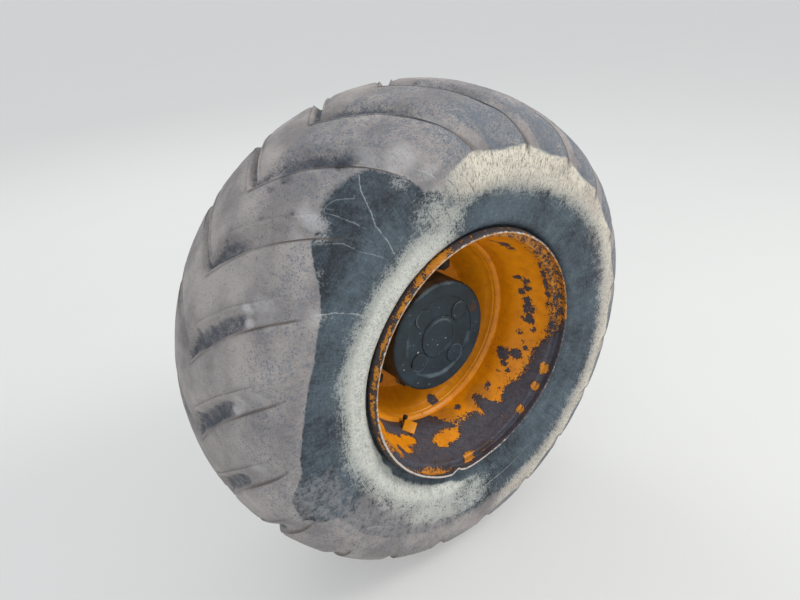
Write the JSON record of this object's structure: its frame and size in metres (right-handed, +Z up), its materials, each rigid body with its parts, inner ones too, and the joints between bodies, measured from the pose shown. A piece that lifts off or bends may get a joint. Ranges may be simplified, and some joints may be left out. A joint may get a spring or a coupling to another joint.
{
  "type": "dumper wheel with planetary hub and axle end",
  "caption": "Wide chevron-tread tyre on a drop-centre rim with a deep dished disc, turning on a planetary hub that bolts to an axle by its flanged spindle.",
  "frame": {"origin": "centre of the mating face of the axle end's flange, on the wheel's axis", "axes": "+Y along the wheel's axis into the axle (towards the machine), -Y to the outside, +Z up"},
  "size_m": [1.172, 0.482, 1.172],
  "materials": {
    "tyre_rubber": "dusty, scuffed",
    "rim_paint": "gloss paint chipped to dark primer",
    "hub_paint": "satin blue-black",
    "fastener_steel": "dull zinc, dusty",
    "plug_steel": "rust-ringed",
    "seal_rubber": "matt",
    "valve_brass": "dull",
    "cap_plastic": "matt",
    "guard_paint": "gloss yellow",
    "axle_iron": "cast, oily",
    "bright_steel": "ground"
  },
  "bodies": {
    "axle_end": {"spindle": "axle_iron", "spindle_sleeve": "bright_steel", "shaft_seal": "seal_rubber"},
    "wheel": {"tyre": "tyre_rubber", "rim_barrel": "rim_paint", "wheel_disc": "rim_paint", "disc_weld": "rim_paint", "hub_body": "hub_paint", "planet_cover": "hub_paint", "cover_screws": "fastener_steel", "oil_plug": "plug_steel", "wheel_studs": "fastener_steel", "wheel_nuts": "fastener_steel", "hub_seal": "seal_rubber", "valve_stem": "valve_brass", "valve_nut": "valve_brass", "valve_cap": "cap_plastic", "valve_guard": "guard_paint"}
  },
  "joints": [
    {"name": "wheel_spin", "type": "hinge", "parent": "axle_end", "child": "wheel", "pos_m": [0, 0, 0], "axis": [0, 1, 0], "continuous": true}
  ]
}
